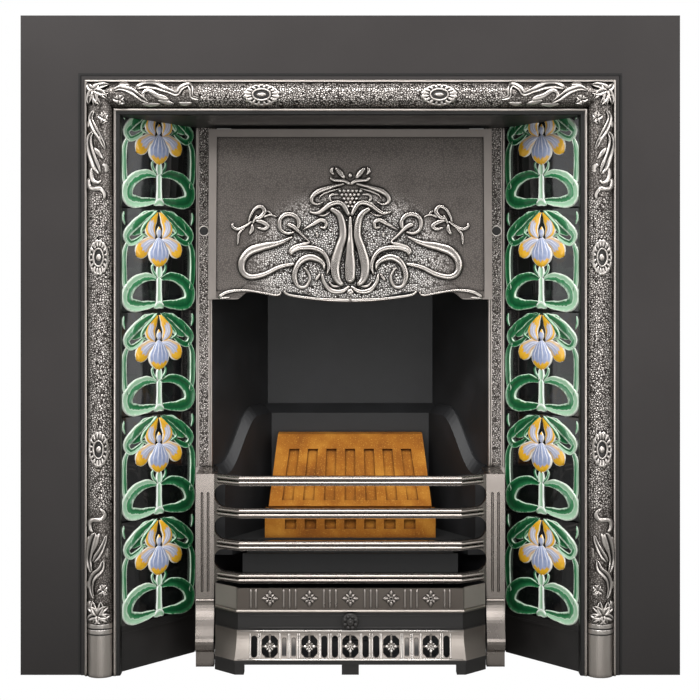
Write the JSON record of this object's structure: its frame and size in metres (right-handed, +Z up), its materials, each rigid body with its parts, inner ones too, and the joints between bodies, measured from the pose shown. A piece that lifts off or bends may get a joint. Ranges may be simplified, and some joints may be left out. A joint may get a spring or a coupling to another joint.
{
  "type": "tiled cast iron fireplace insert",
  "caption": "Cast iron register fireplace insert: moulded surround, splayed tile panels, canopy, barred grate front, fire chamber with damper, loose ash cover and ash pan.",
  "frame": {"origin": "middle of the object's footprint, on the hearth", "axes": "+X to the viewer's right, +Y back into the chimney breast, +Z up"},
  "size_m": [0.965, 0.311, 0.965],
  "materials": {
    "surround_iron": "burnished moulding, blacked border",
    "polished_iron": "burnished high spots over dark hollows",
    "black_iron": "matt black lead",
    "zinc_steel": "bright",
    "fire_clay": "moulded fire clay",
    "tile_glaze": "gloss glaze in green, mauve, yellow and black",
    "pan_steel": "black paint"
  },
  "bodies": {
    "root": {"surround_frame": "surround_iron", "top_soffit": "black_iron", "left_tile_tray": "black_iron", "right_tile_tray": "black_iron", "left_tile_1": "tile_glaze", "left_tile_2": "tile_glaze", "left_tile_3": "tile_glaze", "left_tile_4": "tile_glaze", "left_tile_5": "tile_glaze", "right_tile_1": "tile_glaze", "right_tile_2": "tile_glaze", "right_tile_3": "tile_glaze", "right_tile_4": "tile_glaze", "right_tile_5": "tile_glaze", "arch_plate": "polished_iron", "column_screws": "zinc_steel", "column_nuts": "zinc_steel", "frame_bolts": "zinc_steel", "hood_hooks": "zinc_steel", "grate_front": "polished_iron", "brick_bearer": "black_iron", "back_brick": "fire_clay", "lower_brick": "fire_clay", "chamber_back": "black_iron", "left_cheek": "black_iron", "right_cheek": "black_iron", "chamber_bolts": "zinc_steel", "throat_plate": "black_iron", "damper_pin": "zinc_steel"},
    "hood": {"hood": "polished_iron", "hood_rod": "zinc_steel"},
    "bottom_grate": {"bottom_grate": "black_iron"},
    "damper_flap": {"damper_flap": "black_iron"},
    "ash_cover": {"ash_cover": "polished_iron", "ash_knob": "black_iron", "knob_nut": "zinc_steel"},
    "ash_pan": {"ash_pan": "pan_steel"}
  },
  "joints": [
    {"name": "hood_swing", "type": "hinge", "parent": "root", "child": "hood", "pos_m": [0, -0.01136, 0.79], "axis": [-1, 0, 0], "range_deg": [0, 18]},
    {"name": "damper_swing", "type": "hinge", "parent": "root", "child": "damper_flap", "pos_m": [0, 0.12365, 0.7785], "axis": [-1, 0, 0], "range_deg": [0, 75]},
    {"name": "ash_cover_pull", "type": "slide", "parent": "root", "child": "ash_cover", "axis": [0, -1, 0], "range_m": [0, 0.35]},
    {"name": "ash_pan_pull", "type": "slide", "parent": "root", "child": "ash_pan", "axis": [0, -1, 0], "range_m": [0, 0.3]},
    {"name": "bottom_grate_lift", "type": "slide", "parent": "root", "child": "bottom_grate", "axis": [0, 0, 1], "range_m": [0, 0.04]}
  ],
  "couplings": [
    {"joint": "ash_pan_pull", "follows": "ash_cover_pull", "ratio": 0.857}
  ]
}
